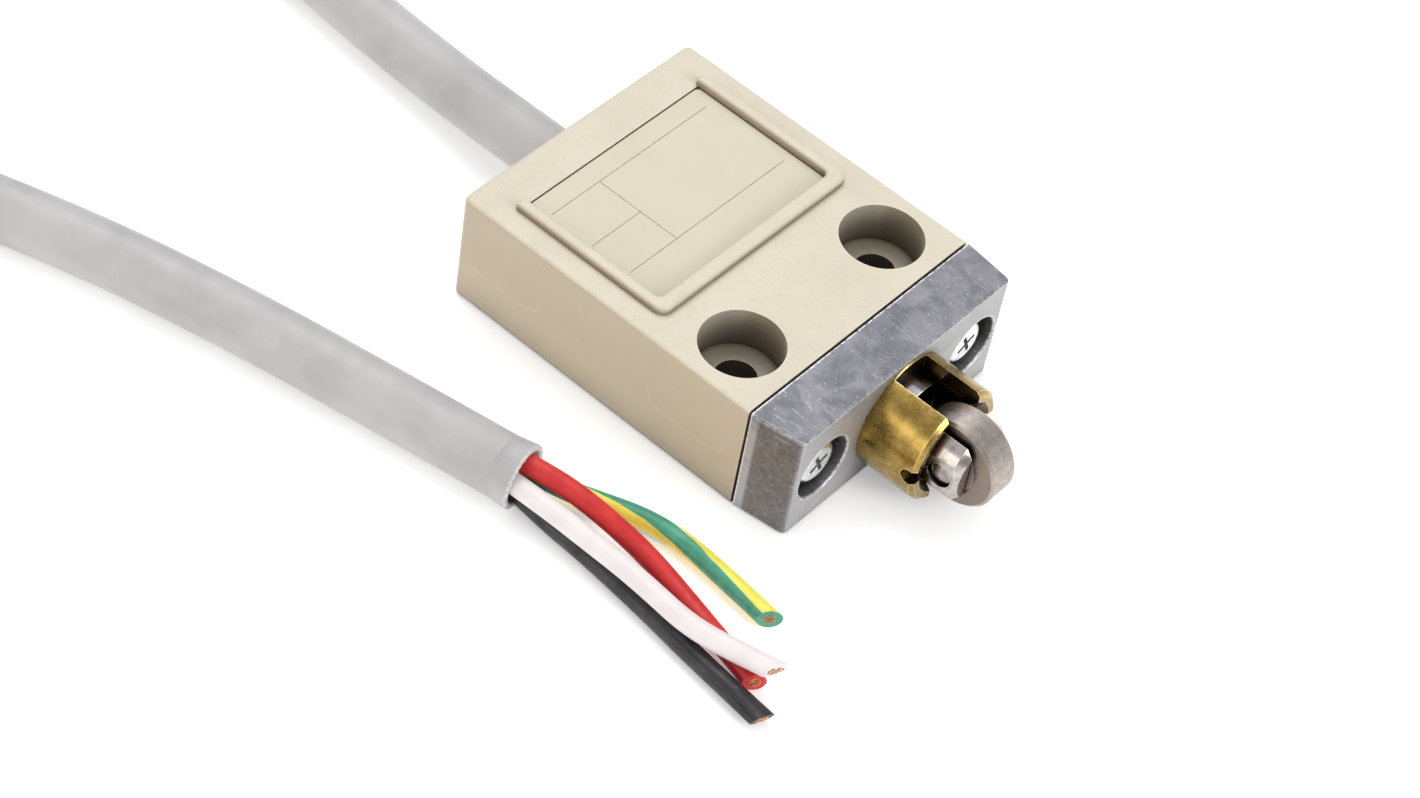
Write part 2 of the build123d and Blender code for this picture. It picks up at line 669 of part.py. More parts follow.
def inner_leads():
    """Four insulated cores from the jacket's inner end to the terminals and the earth tag."""
    x0, turn_x = JACKET_IN_X, -29.1
    low, high = CABLE_Z - LEAD_STEP, CABLE_Z + LEAD_STEP
    ends = {
        "inner_lead_red": (LEAD_STEP, high, [(-28.7, NC_Y, 9.4), (TERMINAL_END_X, NC_Y, 9.4)]),
        "inner_lead_white": (LEAD_STEP, low, [(-28.6, NO_Y, 5.8), (TERMINAL_END_X, NO_Y, 5.8)]),
        "inner_lead_black": (-LEAD_STEP, high, [(-28.7, COMMON_Y, 8.0), (TERMINAL_END_X, COMMON_Y, 8.0)]),
        "inner_lead_earth": (-LEAD_STEP, low, [(-28.7, -10.6, 6.0), (-27.5, -10.4, EARTH_TAG_Z[0])]),
    }
    for name, (y, z, last) in ends.items():
        save(name, tube(name, [(x0, y, z), (turn_x, y, z), *last], INNER_LEAD_R))


# Cable outside


def cable_coil():
    """The outer shape of the wound spare length, one closed ring."""
    width, height = COIL_COLUMNS * CABLE_D, COIL_LAYERS * CABLE_D
    section = Pos(COIL_R, COIL_BASE_Z + height / 2) * RectangleRounded(width, height, COIL_CORNER_R)
    ring = revolve(Plane.XZ * section, Axis.Z)
    return Pos(*COIL_CENTRE, 0) * ring


def coil_tie(angle):
    """A strap round the bundle of turns."""
    width = COIL_COLUMNS * CABLE_D + 2 * TIE_GAP
    height = COIL_LAYERS * CABLE_D + 2 * TIE_GAP
    outline = RectangleRounded(width + 2 * TIE_T, height + 2 * TIE_T, COIL_CORNER_R)
    opening = RectangleRounded(width, height, COIL_CORNER_R - TIE_T)
    loop = extrude(Plane.XZ * (outline - opening), TIE_W / 2, both=True)
    middle_z = COIL_BASE_Z + COIL_LAYERS * CABLE_D / 2
    return Pos(*COIL_CENTRE, middle_z) * Rot(0, 0, angle) * Pos(COIL_R, 0, 0) * loop


def outer_cores():
    """The four cores past the cut jacket, each with its strands' end."""
    strands = []
    for colour, points in CORE_ROUTES.items():
        save(f"core_{colour}", tube(f"core_{colour}", points, CORE_R))
        end, before = Vector(*points[-1]), Vector(*points[-2])
        along = (end - before).normalized()
        strands.append(extrude(Plane(origin=end, z_dir=along) * Circle(STRANDS_R), STRANDS_L))
    save("core_strands", *strands)


def main():
    os.makedirs("parts", exist_ok=True)
    save("housing", housing())
    save("nameplate", nameplate())
    save("back_cover", back_cover())
    save("back_gasket", back_gasket())
    save("back_cover_screws", *cover_screws())
    save("head_gasket", head_gasket())
    save("head_plate", head_plate())
    save("head_screws", head_screw(-HEAD_SCREW_Y), head_screw(HEAD_SCREW_Y))
    save("guide_bush", guide_bush())
    save("seal_ring", seal_ring())
    save("seal_washer", ring_x(*WASHER_X, *WASHER_R))
    save("plunger", plunger())
    save("roller_pin", roller_pin())
    save("roller", roller())
    spring_end = FLANGE_X[0] - 0.02
    save("return_spring", coil_spring(SEAT_X[1] + 0.02, spring_end, RETURN_COIL_R, RETURN_WIRE_R, RETURN_TURNS))
    over_x = (PUSHER_HEAD_X[1] + 0.02, PLUNGER_BORE_END_X - 0.02)
    save("overtravel_spring", coil_spring(*over_x, OVERTRAVEL_COIL_R, OVERTRAVEL_WIRE_R, OVERTRAVEL_TURNS))
    save("pusher", pusher())
    save("pusher_clip", pusher_clip())
    save("spring_seat", spring_seat())
    save("switch_case", switch_case())
    save("switch_cover", switch_cover())
    save("switch_screws", *[switch_screw(x, y) for x, y in CASE_SCREWS])
    save("switch_button", switch_button())
    save("common_terminal", common_terminal())
    save("nc_terminal", nc_terminal())
    save("no_terminal", no_terminal())
    save("fixed_contacts", *fixed_contacts())
    save("moving_blade", moving_blade())
    save("moving_contact", moving_contact())
    save("cable_grommet", cable_grommet())
    save("cable_clamp", cable_clamp())
    save("cable_entry", rod_x(BACK_X, JACKET_IN_X, CABLE_R, z=CABLE_Z))
    save("earth_tag", earth_tag())
    save("earth_screw", earth_screw())
    inner_leads()
    save("cable_lead", tube("cable_lead", LEAD_ROUTE, CABLE_R))
    save("cable_coil", cable_coil())
    save("cable_tail", tube("cable_tail", TAIL_ROUTE, CABLE_R))
    save("coil_ties", *[coil_tie(angle) for angle in TIE_ANGLES])
    outer_cores()
    print(f"wound length {COIL_TURNS * 2 * math.pi * COIL_R:.0f}")


main()
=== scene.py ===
import json
import math
import random

import bmesh
import bpy
from mathutils import Matrix, Vector


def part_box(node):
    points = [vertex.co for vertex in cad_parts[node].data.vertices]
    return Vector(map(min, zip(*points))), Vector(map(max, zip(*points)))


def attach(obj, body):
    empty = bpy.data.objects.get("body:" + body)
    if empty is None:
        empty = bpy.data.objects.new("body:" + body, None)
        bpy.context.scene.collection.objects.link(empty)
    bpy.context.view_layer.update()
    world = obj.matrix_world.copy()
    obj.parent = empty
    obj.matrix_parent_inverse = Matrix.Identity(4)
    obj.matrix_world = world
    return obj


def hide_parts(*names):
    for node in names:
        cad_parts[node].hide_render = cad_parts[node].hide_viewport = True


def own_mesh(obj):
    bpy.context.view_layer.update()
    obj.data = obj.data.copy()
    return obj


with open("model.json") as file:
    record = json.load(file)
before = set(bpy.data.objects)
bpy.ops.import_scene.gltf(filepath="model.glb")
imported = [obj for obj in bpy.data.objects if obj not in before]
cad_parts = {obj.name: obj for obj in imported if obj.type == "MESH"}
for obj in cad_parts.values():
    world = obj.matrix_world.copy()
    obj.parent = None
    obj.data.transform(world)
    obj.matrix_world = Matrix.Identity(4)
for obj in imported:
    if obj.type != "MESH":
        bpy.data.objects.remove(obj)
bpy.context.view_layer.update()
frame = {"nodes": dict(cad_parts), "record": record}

# Lengths are in millimetres in the part's own frame, and MM turns them into metres.
MM = 0.001
AXIS_Z = 8.0

# ---------------------------------------------------------------- camera

AIM = Vector((-8.0, 0.0, AXIS_Z)) * MM
AZIMUTH, ELEVATION, ROLL = (math.radians(a) for a in (32.95, 48.22, 11.26))
DISTANCE = 401.84 * MM
OFFSET = (-4.83 * MM, -11.82 * MM)
LENS = 87.15
SENSOR_WIDTH = 36.0


def make_camera():
    back = Vector((
        math.sin(AZIMUTH) * math.cos(ELEVATION),
        -math.cos(AZIMUTH) * math.cos(ELEVATION),
        math.sin(ELEVATION),
    ))
    right = Vector((math.cos(AZIMUTH), math.sin(AZIMUTH), 0.0))
    up = back.cross(right)
    x_axis = right * math.cos(ROLL) + up * math.sin(ROLL)
    y_axis = up * math.cos(ROLL) - right * math.sin(ROLL)
    data = bpy.data.cameras.new("camera")
    data.lens = LENS
    data.sensor_width = SENSOR_WIDTH
    data.clip_start = 0.01
    data.clip_end = 10.0
    camera = bpy.data.objects.new("camera", data)
    bpy.context.collection.objects.link(camera)
    place = AIM + x_axis * OFFSET[0] + y_axis * OFFSET[1] + back * DISTANCE
    turn = Matrix((x_axis, y_axis, back)).transposed()
    camera.matrix_world = Matrix.Translation(place) @ turn.to_4x4()
    bpy.context.scene.camera = camera


# ---------------------------------------------------------------- cable and cores

CABLE_D = 7.7
JACKET_WALL = 0.75
COIL_CENTRE = (-170.0, -31.5)
COIL_R = 45.0
COIL_BASE_Z = 0.9
COIL_START = math.radians(75.0)
COIL_TURNS = 9.625
POINTS_A_TURN = 24
LAYERS = 4
LAYER_TURNS = 2.0
CLIMB_TURNS = 0.35
# The last turn steps outside the others and comes down: where, and over how many turns.
STEP_OUT_DIAMETERS = 1.06
STEP_OUT_AT, STEP_OUT_OVER = 9.2, 0.25
COME_DOWN_AT, COME_DOWN_OVER = 9.3, 0.5
SLEEVE_LAP = 1.6
LEAD_ROUTE = [
    (-36.8, 0.0, 7.0),
    (-47.0, 0.5, 6.2),
    (-60.0, 2.2, 4.1),
    (-76.0, 3.2, 3.85),
    (-98.0, 5.4, 3.85),
    (-130.0, 12.3, 4.25),
]
TAIL_ROUTE = [
    (-122.0, -75.0, 6.3),
    (-95.0, -58.5, 4.0),
    (-69.0, -49.0, 3.85),
    (-47.0, -43.6, 3.85),
    (-27.0, -39.9, 3.85),
    (-9.3, -36.8, 3.85),
]
CORE_D = 2.55
CORE_ROUTES = {
    "red": [
        (-10.0, -36.28, 5.6),
        (-5.5, -35.2, 5.3),
        (-1.1, -34.6, 4.6),
        (2.3, -34.1, 3.6),
        (7.5, -33.8, 2.3),
        (14.4, -34.8, 1.4),
        (26.2, -37.5, 1.3),
    ],
    "white": [
        (-10.0, -38.67, 4.49),
        (-4.0, -38.3, 4.4),
        (1.9, -38.1, 4.1),
        (6.7, -38.0, 4.0),
        (11.0, -38.2, 4.0),
        (17.0, -38.7, 4.0),
        (22.0, -37.9, 4.0),
        (27.8, -36.3, 3.9),
    ],
    "black": [
        (-10.0, -37.56, 2.1),
        (-5.0, -37.7, 1.35),
        (1.2, -37.8, 1.3),
        (11.7, -38.7, 1.3),
        (20.3, -39.8, 1.3),
        (30.0, -40.6, 1.3),
    ],
    "earth": [
        (-10.0, -35.17, 3.21),
        (-5.8, -33.4, 2.0),
        (-2.2, -31.4, 1.4),
        (2.5, -29.4, 1.3),
        (7.5, -28.6, 1.3),
        (14.0, -28.9, 1.3),
        (21.7, -29.7, 1.3),
    ],
}
# How far each tip is pressed flat, and the length over which that comes on.
CORE_PRESSED = {"red": (0.1, 5.0), "white": (0.35, 5.0), "black": (0.75, 7.0), "earth": (0.0, 5.0)}
# The direction that each cut face looks in.
CORE_CUT = {
    "red": (0.80, -0.60, 0.10),
    "white": (0.88, -0.48, -0.06),
    "black": (0.91, -0.35, -0.24),
    "earth": (0.76, -0.64, 0.11),
}
CORE_SLOTS = {
    "red": "red_insulation",
    "white": "white_insulation",
    "black": "black_insulation",
    "earth": "green_yellow_insulation",
}


def smooth(t):
    t = min(max(t, 0.0), 1.0)
    return t * t * (3.0 - 2.0 * t)


def coil_radius(u):
    """Radius of the winding after u turns: in, out, in and out again, a diameter each turn."""
    outer, inner = COIL_R + CABLE_D, COIL_R - CABLE_D
    period = LAYER_TURNS + CLIMB_TURNS
    layer = min(int(u / period), LAYERS - 1)
    across = CABLE_D * min(u - layer * period, LAYER_TURNS)
    if layer % 2 == 0:
        return outer - across
    step_out = STEP_OUT_DIAMETERS * CABLE_D * smooth((u - STEP_OUT_AT) / STEP_OUT_OVER)
    return inner + across + step_out


def coil_height(u):
    """Height of the winding after u turns: up a layer after each pass, then down its outside."""
    z = COIL_BASE_Z + CABLE_D / 2
    for layer in range(LAYERS - 1):
        start = LAYER_TURNS + layer * (LAYER_TURNS + CLIMB_TURNS)
        z += CABLE_D * smooth((u - start) / CLIMB_TURNS)
    drop = (LAYERS - 1) * CABLE_D + COIL_BASE_Z
    return z - drop * smooth((u - COME_DOWN_AT) / COME_DOWN_OVER)


def coil_route():
    """The turns of the put-away length, from the lead's side to the tail's."""
    points = []
    for i in range(int(COIL_TURNS * POINTS_A_TURN)):
        u = i / POINTS_A_TURN
        angle = COIL_START + u * 2.0 * math.pi
        r = coil_radius(u)
        x = COIL_CENTRE[0] + r * math.cos(angle)
        y = COIL_CENTRE[1] + r * math.sin(angle)
        points.append((x, y, coil_height(u)))
    return points


def spline_object(name, points, bevel):
    data = bpy.data.curves.new(name, "CURVE")
    data.dimensions = "3D"
    data.bevel_depth = bevel * MM
    data.bevel_resolution = 8
    data.resolution_u = 6
    data.use_fill_caps = bevel > 0
    spline = data.splines.new("NURBS")
    spline.points.add(len(points) - 1)
    for point, place in zip(spline.points, points):
        point.co = (place[0] * MM, place[1] * MM, place[2] * MM, 1.0)
    spline.order_u = 3
    spline.use_endpoint_u = True
    obj = bpy.data.objects.new(name, data)
    bpy.context.collection.objects.link(obj)
    return obj


def spline_line(points):
    """The points that a route's smooth spline runs through."""
    obj = spline_object("route", points, 0.0)
    obj.data.resolution_u = 16
    mesh = bpy.data.meshes.new_from_object(obj)
    line = [v.co.copy() for v in mesh.vertices]
    bpy.data.objects.remove(obj)
    bpy.data.meshes.remove(mesh)
    return line


def line_frames(line):
    """A tangent and two steady normals at each point of a line."""
    frames = []
    side = None
    for i, point in enumerate(line):
        ahead = line[min(i + 1, len(line) - 1)] - line[max(i - 1, 0)]
        tangent = ahead.normalized()
        if side is None:
            side = tangent.cross(Vector((0.0, 0.0, 1.0))).normalized()
        side = (side - tangent * side.dot(tangent)).normalized()
        frames.append((point, tangent, side, side.cross(tangent)))
    return frames


def circle(build, centre, side, up, r, count):
    """A ring of vertices round a centre, in the plane of two unit vectors."""
    ring = []
    for k in range(count):
        angle = 2 * math.pi * k / count
        reach = side * math.cos(angle) + up * math.sin(angle)
        ring.append(build.verts.new(centre + reach * r))
    return ring


def bridge(build, rings):
    """Faces from ring to ring, each with its step along the rings and its place round them."""
    faces = []
    for step, (low, high) in enumerate(zip(rings, rings[1:])):
        for k in range(len(low)):
            m = (k + 1) % len(low)
            faces.append((step, k, build.faces.new((low[k], low[m], high[m], high[k]))))
    return faces


def cap_ends(build, rings):
    build.faces.new(list(reversed(rings[0])))
    build.faces.new(rings[-1])


def mesh_object(name, build):
    mesh = bpy.data.meshes.new(name)
    build.normal_update()
    build.to_mesh(mesh)
    build.free()
    obj = bpy.data.objects.new(name, mesh)
    bpy.context.collection.objects.link(obj)
    return obj


def add_piece(obj, body, slot, *materials):
    for material in materials:
        obj.data.materials.append(material)
    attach(obj, body)
    return obj


def shade_smooth(obj, degrees=35.0):
    obj.data.shade_smooth()
    obj.data.set_sharp_from_angle(angle=math.radians(degrees))


# ---------------------------------------------------------------- node helpers


class Nodes:
    """A material's nodes, with short calls for the ones used here."""

    def __init__(self, name, colour, metallic=0.0, roughness=0.5, **sockets):
        self.material = bpy.data.materials.new(name)
        self.material.use_nodes = True
        self.tree = self.material.node_tree
        self.shader = self.tree.nodes["Principled BSDF"]
        self.shader.inputs["Base Color"].default_value = (*colour, 1.0)
        self.shader.inputs["Metallic"].default_value = metallic
        self.shader.inputs["Roughness"].default_value = roughness
        for socket, value in sockets.items():
            self.shader.inputs[socket.replace("_", " ")].default_value = value
        self.height = None

    def link(self, source, target):
        self.tree.links.new(source, target)

    def place(self, stretch=(1.0, 1.0, 1.0), turn=(0.0, 0.0, 0.0)):
        """The part's own coordinates in millimetres, turned and stretched."""
        coordinates = self.tree.nodes.new("ShaderNodeTexCoord")
        mapping = self.tree.nodes.new("ShaderNodeMapping")
        mapping.inputs["Rotation"].default_value = turn
        mapping.inputs["Scale"].default_value = tuple(1000.0 * s for s in stretch)
        self.link(coordinates.outputs["Object"], mapping.inputs["Vector"])
        return mapping.outputs["Vector"]

    def noise(self, scale, detail=3.0, roughness=0.55, where=None, distortion=0.0):
        node = self.tree.nodes.new("ShaderNodeTexNoise")
        node.inputs["Scale"].default_value = scale
        node.inputs["Detail"].default_value = detail
        node.inputs["Roughness"].default_value = roughness
        node.inputs["Distortion"].default_value = distortion
        self.link(where or self.place(), node.inputs["Vector"])
        return node.outputs["Fac"]

    def cells(self, scale, where=None):
        node = self.tree.nodes.new("ShaderNodeTexVoronoi")
        node.inputs["Scale"].default_value = scale
        self.link(where or self.place(), node.inputs["Vector"])
        return node.outputs["Distance"]

    def span(self, value, low, high, to_low=0.0, to_high=1.0):
        node = self.tree.nodes.new("ShaderNodeMapRange")
        node.interpolation_type = "SMOOTHSTEP"
        self.link(value, node.inputs["Value"])
        node.inputs["From Min"].default_value = low
        node.inputs["From Max"].default_value = high
        node.inputs["To Min"].default_value = to_low
        node.inputs["To Max"].default_value = to_high
        return node.outputs["Result"]

    def maths(self, operation, a, b=0.0):
        node = self.tree.nodes.new("ShaderNodeMath")
        node.operation = operation
        for value, socket in ((a, node.inputs[0]), (b, node.inputs[1])):
            if isinstance(value, (int, float)):
                socket.default_value = value
            else:
                self.link(value, socket)
        return node.outputs[0]

    def mix(self, amount, a, b):
        node = self.tree.nodes.new("ShaderNodeMix")
        node.data_type = "RGBA"
        self.link(amount, node.inputs[0])
        for value, socket in ((a, node.inputs[6]), (b, node.inputs[7])):
            if isinstance(value, tuple):
                socket.default_value = (*value, 1.0)
            else:
                self.link(value, socket)
        return node.outputs[2]

    def edges(self, radius, low=0.995, high=0.9):
        """1 along the edges of the shape, 0 on its faces."""
        bevel = self.tree.nodes.new("ShaderNodeBevel")
        bevel.samples = 6
        bevel.inputs["Radius"].default_value = radius * MM
        geometry = self.tree.nodes.new("ShaderNodeNewGeometry")
        dot = self.tree.nodes.new("ShaderNodeVectorMath")
        dot.operation = "DOT_PRODUCT"
        self.link(bevel.outputs["Normal"], dot.inputs[0])
        self.link(geometry.outputs["Normal"], dot.inputs[1])
        return self.span(dot.outputs["Value"], low, high)

    def crevice(self, reach, base, shade, low=0.2, high=0.85):
        """The base colour, turned to the shade where the surface is closed in."""
        node = self.tree.nodes.new("ShaderNodeAmbientOcclusion")
        node.samples = 8
        node.inputs["Distance"].default_value = reach * MM
        return self.mix(self.span(node.outputs["AO"], low, high), shade, base)

    def along(self, axis):
        """How far along an axis of the part's own frame, in millimetres."""
        split = self.tree.nodes.new("ShaderNodeSeparateXYZ")
        self.link(self.place(), split.inputs[0])
        return split.outputs[axis]

    def facing(self, axis):
        """1 on faces square to an axis, whichever way they point, 0 on the others."""
        coordinates = self.tree.nodes.new("ShaderNodeTexCoord")
        split = self.tree.nodes.new("ShaderNodeSeparateXYZ")
        self.link(coordinates.outputs["Normal"], split.inputs[0])
        return self.span(self.maths("ABSOLUTE", split.outputs[axis]), 0.75, 0.9)

    def colour(self, output):
        self.link(output, self.shader.inputs["Base Color"])

    def roughness(self, output):
        self.link(output, self.shader.inputs["Roughness"])

    def bump(self, height, strength, distance):
        node = self.tree.nodes.new("ShaderNodeBump")
        node.inputs["Strength"].default_value = strength
        node.inputs["Distance"].default_value = distance * MM
        self.link(height, node.inputs["Height"])
        if self.height is not None:
            self.link(self.height, node.inputs["Normal"])
        self.height = node.outputs["Normal"]
        self.link(self.height, self.shader.inputs["Normal"])


# ---------------------------------------------------------------- materials


MARK_CENTRES_X = (-29.5, -1.0)
MARK_HALF_STRAIGHT = 3.6
MARK_CENTRE_Z = 8.4
MARK_R = 2.3


def mould_mark(n, centre_x):
    """A faint, broken line round the lower half of a long oval on the side."""
    past = n.maths("ABSOLUTE", n.maths("SUBTRACT", n.along("X"), centre_x))
    past = n.maths("MAXIMUM", n.maths("SUBTRACT", past, MARK_HALF_STRAIGHT), 0.0)
    below = n.maths("SUBTRACT", n.along("Z"), MARK_CENTRE_Z)
    squares = n.maths("ADD", n.maths("MULTIPLY", past, past), n.maths("MULTIPLY", below, below))
    off = n.maths("ABSOLUTE", n.maths("SUBTRACT", n.maths("SQRT", squares), MARK_R))
    line = n.maths("MULTIPLY", n.span(off, 0.16, 0.04), n.span(below, 0.4, -0.6))
    return n.maths("MULTIPLY", line, n.span(n.noise(1.4, 3.0, 0.7), 0.44, 0.6, 0.1, 0.9))


def cream_paint():
    n = Nodes("cream_paint", (0.62, 0.56, 0.43), roughness=0.42, Specular_IOR_Level=0.45)
    patches = n.noise(0.11, 3.0)
    speckle = n.noise(3.2, 2.0, 0.7)
    base = n.mix(n.span(patches, 0.35, 0.65), (0.645, 0.590, 0.470), (0.680, 0.625, 0.500))
    base = n.mix(n.span(speckle, 0.45, 0.7, 0.0, 0.3), base, (0.76, 0.71, 0.60))
    base = n.mix(n.span(n.noise(2.1, 3.0, 0.7), 0.5, 0.3, 0.0, 0.22), base, (0.50, 0.45, 0.34))
    # Painted shade: the faces square to Y are turned darker and browner, where the sides fall in shade.
    base = n.mix(n.maths("MULTIPLY", n.facing("Y"), 0.75), base, (0.530, 0.430, 0.300))
    for centre_x in MARK_CENTRES_X:
        mark = n.maths("MULTIPLY", mould_mark(n, centre_x), n.facing("Y"))
        base = n.mix(mark, base, (0.66, 0.58, 0.45))
    worn = n.maths("MULTIPLY", n.edges(0.5), n.span(n.noise(0.6), 0.45, 0.6, 0.15, 0.7))
    base = n.mix(worn, base, (0.77, 0.72, 0.59))
    # Painted shade: darker in creases, much darker on the counterbore walls (less so on faces square to
    # Z), and near black deep in the through holes.
    base = n.crevice(1.4, base, (0.27, 0.215, 0.145), 0.35, 0.85)
    deep_shade = n.crevice(12.0, base, (0.080, 0.063, 0.045), 0.05, 0.78)
    base = n.mix(n.maths("MULTIPLY", n.facing("Z"), 0.4), deep_shade, base)
    n.colour(n.crevice(7.0, base, (0.006, 0.005, 0.004), 0.0, 0.25))
    n.roughness(n.span(n.noise(0.9), 0.3, 0.7, 0.36, 0.5))
    n.bump(n.noise(2.4, 3.0), 0.5, 0.03)
    n.bump(n.noise(0.35, 2.0), 0.3, 0.08)
    return n.material


def label_film():
    n = Nodes("label_film", (0.62, 0.58, 0.46), roughness=0.5)
    base = n.mix(n.span(n.noise(0.15), 0.3, 0.7), (0.620, 0.580, 0.450), (0.650, 0.605, 0.475))
    base = n.mix(n.span(n.noise(4.0, 2.0), 0.6, 0.75, 0.0, 0.25), base, (0.66, 0.61, 0.50))
    n.colour(base)
    n.roughness(n.span(n.noise(1.5), 0.3, 0.7, 0.48, 0.6))
    n.bump(n.noise(1.3), 0.2, 0.02)
    return n.material


def line_ink():
    n = Nodes("line_ink", (0.28, 0.25, 0.21), roughness=0.5)
    n.colour(n.mix(n.span(n.noise(2.5), 0.35, 0.65), (0.23, 0.20, 0.17), (0.38, 0.34, 0.28)))
    return n.material


def bare_diecast():
    n = Nodes("bare_diecast", (0.26, 0.26, 0.30), metallic=0.65, roughness=0.45)
    clouds = n.noise(0.28, 5.0, 0.6, distortion=0.6)
    fine = n.noise(1.7, 4.0, 0.65)
    base = n.mix(n.span(clouds, 0.32, 0.68), (0.160, 0.161, 0.188), (0.280, 0.275, 0.308))
    base = n.mix(n.span(fine, 0.50, 0.72, 0.0, 0.5), base, (0.40, 0.40, 0.43))
    # Painted shade: the faces square to Y get a darker, browner copy of the metal.
    side = n.mix(n.span(fine, 0.35, 0.65), (0.135, 0.115, 0.108), (0.225, 0.200, 0.190))
    base = n.mix(n.maths("MULTIPLY", n.facing("Y"), 0.85), base, side)
    # Painted light: the faces square to X, the front of the head, are lightened.
    base = n.mix(n.maths("MULTIPLY", n.facing("X"), 0.65), base, (0.50, 0.495, 0.485))
    flange = n.maths("MULTIPLY", n.facing("Y"), n.span(n.along("X"), 9.0, 8.4))
    base = n.mix(n.maths("MULTIPLY", flange, n.span(clouds, 0.3, 0.5, 0.3, 0.9)), base, (0.46, 0.46, 0.47))
    # Painted shade: dark in corners and recesses.
    base = n.crevice(4.0, base, (0.030, 0.030, 0.042), 0.15, 0.7)
    scratch_map = n.place((0.25, 2.6, 2.6), (0.0, 0.0, 0.5))
    scratches = n.span(n.noise(1.1, 2.0, 0.6, scratch_map, 1.2), 0.665, 0.70)
    base = n.mix(n.maths("MULTIPLY", scratches, 0.5), base, (0.62, 0.62, 0.66))
    nick_map = n.place((1.0, 1.0, 1.0), (0.3, 0.2, 0.9))
    nicks = n.span(n.cells(0.9, nick_map), 0.13, 0.05)
    base = n.mix(n.maths("MULTIPLY", nicks, 0.5), base, (0.70, 0.70, 0.73))
    rub = n.span(n.noise(1.6, 4.0, 0.7), 0.36, 0.54)
    worn = n.maths("MULTIPLY", n.edges(0.42, 0.998, 0.93), rub)
    n.colour(n.mix(worn, base, (0.95, 0.95, 0.96)))
    n.roughness(n.span(fine, 0.3, 0.7, 0.38, 0.56))
    n.bump(fine, 0.6, 0.035)
    n.bump(n.noise(0.5, 3.0), 0.35, 0.12)
    return n.material


def turned_brass():
    n = Nodes("turned_brass", (0.62, 0.42, 0.12), metallic=1.0, roughness=0.3)
    tone = n.noise(0.5, 4.0, 0.6)
    grain = n.noise(6.0, 3.0, 0.7)
    base = n.mix(n.span(tone, 0.35, 0.65), (0.27, 0.175, 0.042), (0.43, 0.290, 0.080))
    base = n.mix(n.span(grain, 0.48, 0.75, 0.0, 0.45), base, (0.76, 0.55, 0.20))
    worn = n.maths("MULTIPLY", n.edges(0.25), n.span(n.noise(1.1), 0.3, 0.55))
    # Painted shade: dark brown in the slot and other closed-in places.
    base = n.crevice(5.0, base, (0.045, 0.022, 0.006), 0.25, 0.75)
    n.colour(n.mix(worn, base, (0.86, 0.72, 0.42)))
    n.roughness(n.span(grain, 0.3, 0.7, 0.20, 0.34))
    turning = n.noise(1.0, 2.0, 0.5, n.place((7.0, 0.15, 0.15)))
    n.bump(turning, 0.12, 0.02)
    n.bump(grain, 0.25, 0.015)
    return n.material


def polished_steel():
    n = Nodes("polished_steel", (0.55, 0.51, 0.49), metallic=1.0, roughness=0.14)
    tone = n.noise(0.7, 3.0)
    base = n.mix(n.span(tone, 0.35, 0.65), (0.36, 0.320, 0.302), (0.54, 0.495, 0.472))
    # Painted shade: the stem is darkened from 21.6 mm down to 20.6 mm and behind, where it runs inside the
    # bush, and in closed-in places.
    bush_shade = n.span(n.along("X"), 21.6, 20.6, 0.0, 0.85)
    base = n.mix(bush_shade, base, (0.10, 0.093, 0.107))
    base = n.crevice(6.0, base, (0.05, 0.042, 0.048), 0.2, 0.8)
    worn = n.edges(0.12)
    n.colour(n.mix(worn, base, (0.85, 0.83, 0.81)))
    turning = n.noise(1.0, 2.0, 0.5, n.place((9.0, 0.2, 0.2)))
    n.roughness(n.span(turning, 0.3, 0.7, 0.14, 0.26))
    n.bump(turning, 0.1, 0.01)
    return n.material


def roller_steel():
    n = Nodes("roller_steel", (0.40, 0.37, 0.35), metallic=1.0, roughness=0.36)
    tone = n.noise(0.9, 4.0, 0.6)
    grinding = n.noise(1.2, 3.0, 0.6, n.place((0.3, 8.0, 0.3)))
    base = n.mix(n.span(tone, 0.35, 0.65), (0.34, 0.295, 0.27), (0.44, 0.395, 0.37))
    base = n.mix(n.span(grinding, 0.55, 0.75, 0.0, 0.4), base, (0.55, 0.50, 0.48))
    # Painted shade: the side faces, square to Y, are turned darker and browner, and closed-in places
    # darker still.
    base = n.mix(n.maths("MULTIPLY", n.facing("Y"), 0.8), base, (0.255, 0.195, 0.160))
    base = n.crevice(3.0, base, (0.05, 0.042, 0.038), 0.15, 0.7)
    worn = n.maths("MULTIPLY", n.edges(0.15), n.span(n.noise(1.5), 0.35, 0.6, 0.1, 0.5))
    n.colour(n.mix(worn, base, (0.66, 0.63, 0.61)))
    n.roughness(n.span(grinding, 0.3, 0.7, 0.32, 0.44))
    n.bump(grinding, 0.15, 0.01)
    return n.material


def bright_zinc():
    n = Nodes("bright_zinc", (0.80, 0.81, 0.80), metallic=1.0, roughness=0.2)
    tone = n.noise(1.2, 3.0)
    n.colour(n.mix(n.span(tone, 0.35, 0.65), (0.66, 0.68, 0.67), (0.90, 0.91, 0.90)))
    n.roughness(n.span(n.noise(3.0), 0.3, 0.7, 0.14, 0.3))
    n.bump(n.noise(2.0, 3.0), 0.25, 0.03)
    return n.material


def spring_steel():
    n = Nodes("spring_steel", (0.42, 0.42, 0.43), metallic=1.0, roughness=0.25)
    n.colour(n.mix(n.span(n.noise(1.0), 0.35, 0.65), (0.33, 0.33, 0.34), (0.52, 0.52, 0.53)))
    n.bump(n.noise(5.0), 0.15, 0.01)
    return n.material


def silver_alloy():
    n = Nodes("silver_alloy", (0.82, 0.80, 0.76), metallic=1.0, roughness=0.22)
    n.colour(n.mix(n.span(n.noise(1.4), 0.35, 0.65), (0.72, 0.70, 0.66), (0.88, 0.87, 0.84)))
    n.bump(n.noise(4.0), 0.15, 0.01)
    return n.material


